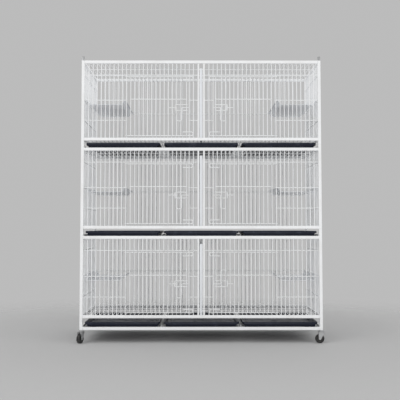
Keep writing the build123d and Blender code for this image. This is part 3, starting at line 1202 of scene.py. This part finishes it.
@dataclass
class Castor:
    """A swivel castor: its fork with the axle bolt, and its wheel."""

    measures: Measures
    corner: Corner
    trail: float = 0.008
    wheel_radius: float = 0.0225
    wheel_half: float = 0.009
    arm_in: float = 0.0102
    plate: float = 0.0025
    hub: Profile = ((0.0031, 0.0), (0.0072, 0.0), (0.0076, 0.0004), (0.0078, 0.003), (0.0095, 0.0034),
                    (0.0155, 0.0034), (0.017, 0.003), (0.0175, 0.0006), (0.0182, 0.0))
    tread: Profile = ((0.0025, 0.0004), (0.0008, 0.0016), (0.0001, 0.004))
    arm_back: Profile = ((-0.013, 0.001), (-0.012, 0.006))
    arm_front: Profile = ((0.0145, 0.006), (0.013, 0.001))
    foot_share: float = 2.4
    foot_turn: tuple[float, float] = (1.06, 1.94)
    foot_points: int = 9
    crown_half: float = 0.015
    crown_corner: float = 0.004
    crown_ease: float = 0.0004
    race: Profile = ((0.0095, 0.0001), (0.01, 0.0033), (0.0041, 0.0027), (0.0041, 0.0002))
    head_radius: float = 0.0045
    head_height: float = 0.0004
    axle_radius: float = 0.003
    ease: float = 0.0002

    @property
    def stem(self) -> Vector:
        """The king pin's place on the floor."""
        m, (x, y) = self.measures, self.corner.value
        return Vector((x * m.post_x, y * m.post_y, 0.0))

    @property
    def heading(self) -> Vector:
        """The way from the king pin to the wheel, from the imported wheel's own place."""
        low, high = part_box(f"{self.corner.label}_castor_wheel")
        middle = (low + high) / 2
        return Vector((middle.x - self.stem.x, middle.y - self.stem.y, 0)).normalized()

    def axes(self) -> Array:
        """Columns along the trail, along the axle and up."""
        h = self.heading
        return np.array([[h.x, -h.y, 0], [h.y, h.x, 0], [0, 0, 1.0]])

    def wheel(self) -> Shape:
        """The wheel turned on its axle: a crowned tread, stepped sides, a hub boss and a bore."""
        r, w = self.wheel_radius, self.wheel_half
        half = [(radius, w - inset) for radius, inset in self.hub]
        half += [(r - below, w - inset) for below, inset in self.tread]
        profile = [*half, (r, 0.0), *((radius, -height) for radius, height in reversed(half))]
        tilt = np.array([[1.0, 0, 0], [0, 0, -1.0], [0, 1.0, 0]])
        local = lathe(profile).moved(tilt, (self.trail, 0, r))
        return local.moved(self.axes(), self.stem)

    def fork(self) -> Shape:
        """Side plates with round feet, the swivel plate between them, a raceway ring and the axle bolt."""
        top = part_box(f"{self.corner.label}_castor_fork")[1].z
        axle_x, axle_z, foot = self.trail, self.wheel_radius, self.plate * self.foot_share
        angle = math.pi * np.linspace(*self.foot_turn, self.foot_points)
        arc = np.stack([axle_x + foot * np.cos(angle), axle_z + foot * np.sin(angle)], -1)
        back, front = ([(x, top - drop) for x, drop in part] for part in (self.arm_back, self.arm_front))
        x, z = np.concatenate([back, arc, front]).T
        outside = self.arm_in + self.plate
        shapes = []
        for sign in (-1, 1):
            near, far = sorted((sign * self.arm_in, sign * outside))
            shapes.append(capped(np.stack([point_rows(x, near, z), point_rows(x, far, z)])))
            shapes.append(bars([axle_x, sign * outside, axle_z],
                               [axle_x, sign * (outside + self.head_height), axle_z],
                               round_section(self.head_radius, sides=6), self.ease))
        crown = box_section(outside, self.crown_half, self.crown_corner, steps=4)
        shapes.append(bars([0, 0, top - self.plate], [0, 0, top], crown, self.crown_ease))
        shapes.append(lathe([(radius, top - drop) for radius, drop in self.race], around=32))
        shapes.append(bars([axle_x, -self.arm_in, axle_z], [axle_x, self.arm_in, axle_z],
                           round_section(self.axle_radius, sides=16), self.ease))
        return Shape.joined(shapes).moved(self.axes(), self.stem)

    def build(self, wardrobe: Wardrobe) -> None:
        """Makes and dresses the wheel and the fork."""
        for part, shape, finish in (("wheel", self.wheel(), WheelPlastic()), ("fork", self.fork(), Zinc())):
            node = f"{self.corner.label}_castor_{part}"
            wardrobe.dress(shape, f"{node}_dressed", finish, node, node)


@dataclass(frozen=True)
class Lamp:
    """A soft square lamp that points at the middle of the stack."""

    name: str
    place: tuple[float, float, float]
    size: float
    power: float
    aim: tuple[float, float, float] = (0.0, 0.0, 0.7)

    def hang(self) -> None:
        """Puts the lamp into the scene."""
        data = bpy.data.lights.new(self.name, "AREA")
        data.size, data.energy = self.size, self.power
        obj = placed(self.name, data)
        obj.location = self.place
        obj.rotation_euler = (Vector(self.aim) - Vector(self.place)).to_track_quat("-Z", "Y").to_euler()


@dataclass
class Studio:
    """The floor, the light and the camera."""

    pale: float = 0.5
    bounce: float = 0.8
    ambient: float = 0.8
    floor_reach: float = 9.0
    floor_drop: float = 0.0005
    floor_roughness: float = 0.5
    fade_middle: float = 1.7
    fade_width: float = 1.6
    mottle: float = 0.98
    mottle_scale: float = 40.0
    lamps: tuple[Lamp, ...] = (
        Lamp("key", (-2.4, -3.4, 3.0), 2.2, 26.0),
        Lamp("fill", (3.2, -2.6, 1.6), 2.4, 12.0),
        Lamp("low", (0.0, -4.2, 0.35), 1.8, 16.0),
        Lamp("rim", (1.2, 3.2, 3.0), 2.0, 16.0),
    )
    camera_place: tuple[float, float, float] = (-0.0166, -4.1057, 0.5712)
    pitch_up: float = 0.0610
    turn_right: float = 0.0028
    focal_pixels: float = 775.6
    middle_row: float = 179.6
    picture: float = 400.0
    sensor: float = 36.0
    farthest: float = 100.0

    def floor(self) -> None:
        """A pale floor that fades out at its edge, so that no horizon shows."""
        graph = Graph(bpy.data.materials.new("studio_floor"))
        length = graph.node("ShaderNodeVectorMath", {"operation": "LENGTH"}, {0: graph.place})
        below = graph.node("ShaderNodeNewGeometry").outputs["Backfacing"]
        distance = Value(graph, length.outputs["Value"])
        fade = distance.above(self.fade_middle, self.fade_width).most(below)
        shown = graph.blend(graph.noise(self.mottle_scale, 4.0), (self.pale * self.mottle,) * 3,
                            (self.pale,) * 3)
        seen = graph.node("ShaderNodeLightPath").outputs["Is Camera Ray"]
        colour = graph.blend(seen, (self.bounce,) * 3, shown)
        sockets = {"Color": colour, "Roughness": self.floor_roughness}
        matt = graph.node("ShaderNodeBsdfDiffuse", None, sockets)
        clear = graph.node("ShaderNodeBsdfTransparent")
        reach = self.floor_reach
        x, y = np.array([[-reach, reach, reach, -reach], [-reach, -reach, reach, reach]])
        corners = point_rows(x, y, -self.floor_drop)
        floor = Shape(corners, [np.arange(4)[None]]).piece("studio_floor")
        floor.data.materials.append(graph.finished(graph.mixed(fade, matt, clear)))

    def world(self) -> None:
        """Even light from all round, and a plain pale backdrop behind the object."""
        world = bpy.data.worlds.new("studio_world")
        bpy.context.scene.world = world
        graph = Graph(world)
        path = graph.node("ShaderNodeLightPath").outputs
        glossy = Value(graph, path["Is Glossy Ray"]).most(path["Is Transmission Ray"])
        seen = Value(graph, path["Is Camera Ray"]).most(glossy)
        light = graph.node("ShaderNodeBackground", None, {"Color": (1.0,) * 3, "Strength": self.ambient})
        shown = graph.node("ShaderNodeBackground", None, {"Color": (self.pale,) * 3, "Strength": 1.0})
        graph.finished(graph.mixed(seen, light, shown), "ShaderNodeOutputWorld")

    def camera(self) -> None:
        """The photograph's view: nearly level, a little below the stack's middle."""
        data = bpy.data.cameras.new("photo_camera")
        data.sensor_width = self.sensor
        data.lens = self.focal_pixels / self.picture * data.sensor_width
        data.shift_y = (self.middle_row - self.picture / 2) / self.picture
        data.clip_end = self.farthest
        obj = placed("photo_camera", data)
        obj.location = self.camera_place
        obj.rotation_euler = Euler((math.pi / 2 + self.pitch_up, 0, -self.turn_right))
        bpy.context.scene.camera = obj

    def build(self) -> None:
        """Sets up the floor, the light and the camera."""
        bpy.context.scene.view_settings.view_transform = "Standard"
        self.floor()
        self.world()
        for lamp in self.lamps:
            lamp.hang()
        self.camera()


def main() -> None:
    """Builds every sub-assembly in order."""
    logging.basicConfig(level=logging.INFO, format="%(name)s: %(message)s")
    measures = Measures()
    wardrobe = Wardrobe()
    Studio().build()
    TubeFrame(measures).build(wardrobe)
    WirePanels(measures).build(wardrobe)
    for tier in Tier:
        for side in Side:
            door = Door(measures, side, tier)
            door.build(wardrobe)
            Bolt(door).build(wardrobe)
        for place in ("left", "middle", "right"):
            Tray(f"{tier.label}_{place}_tray").build(wardrobe)
    SheetWork(measures).build(wardrobe)
    for corner in Corner:
        Castor(measures, corner).build(wardrobe)
    wardrobe.redress("castor_stems", Zinc())


if __name__ == "__main__":
    main()
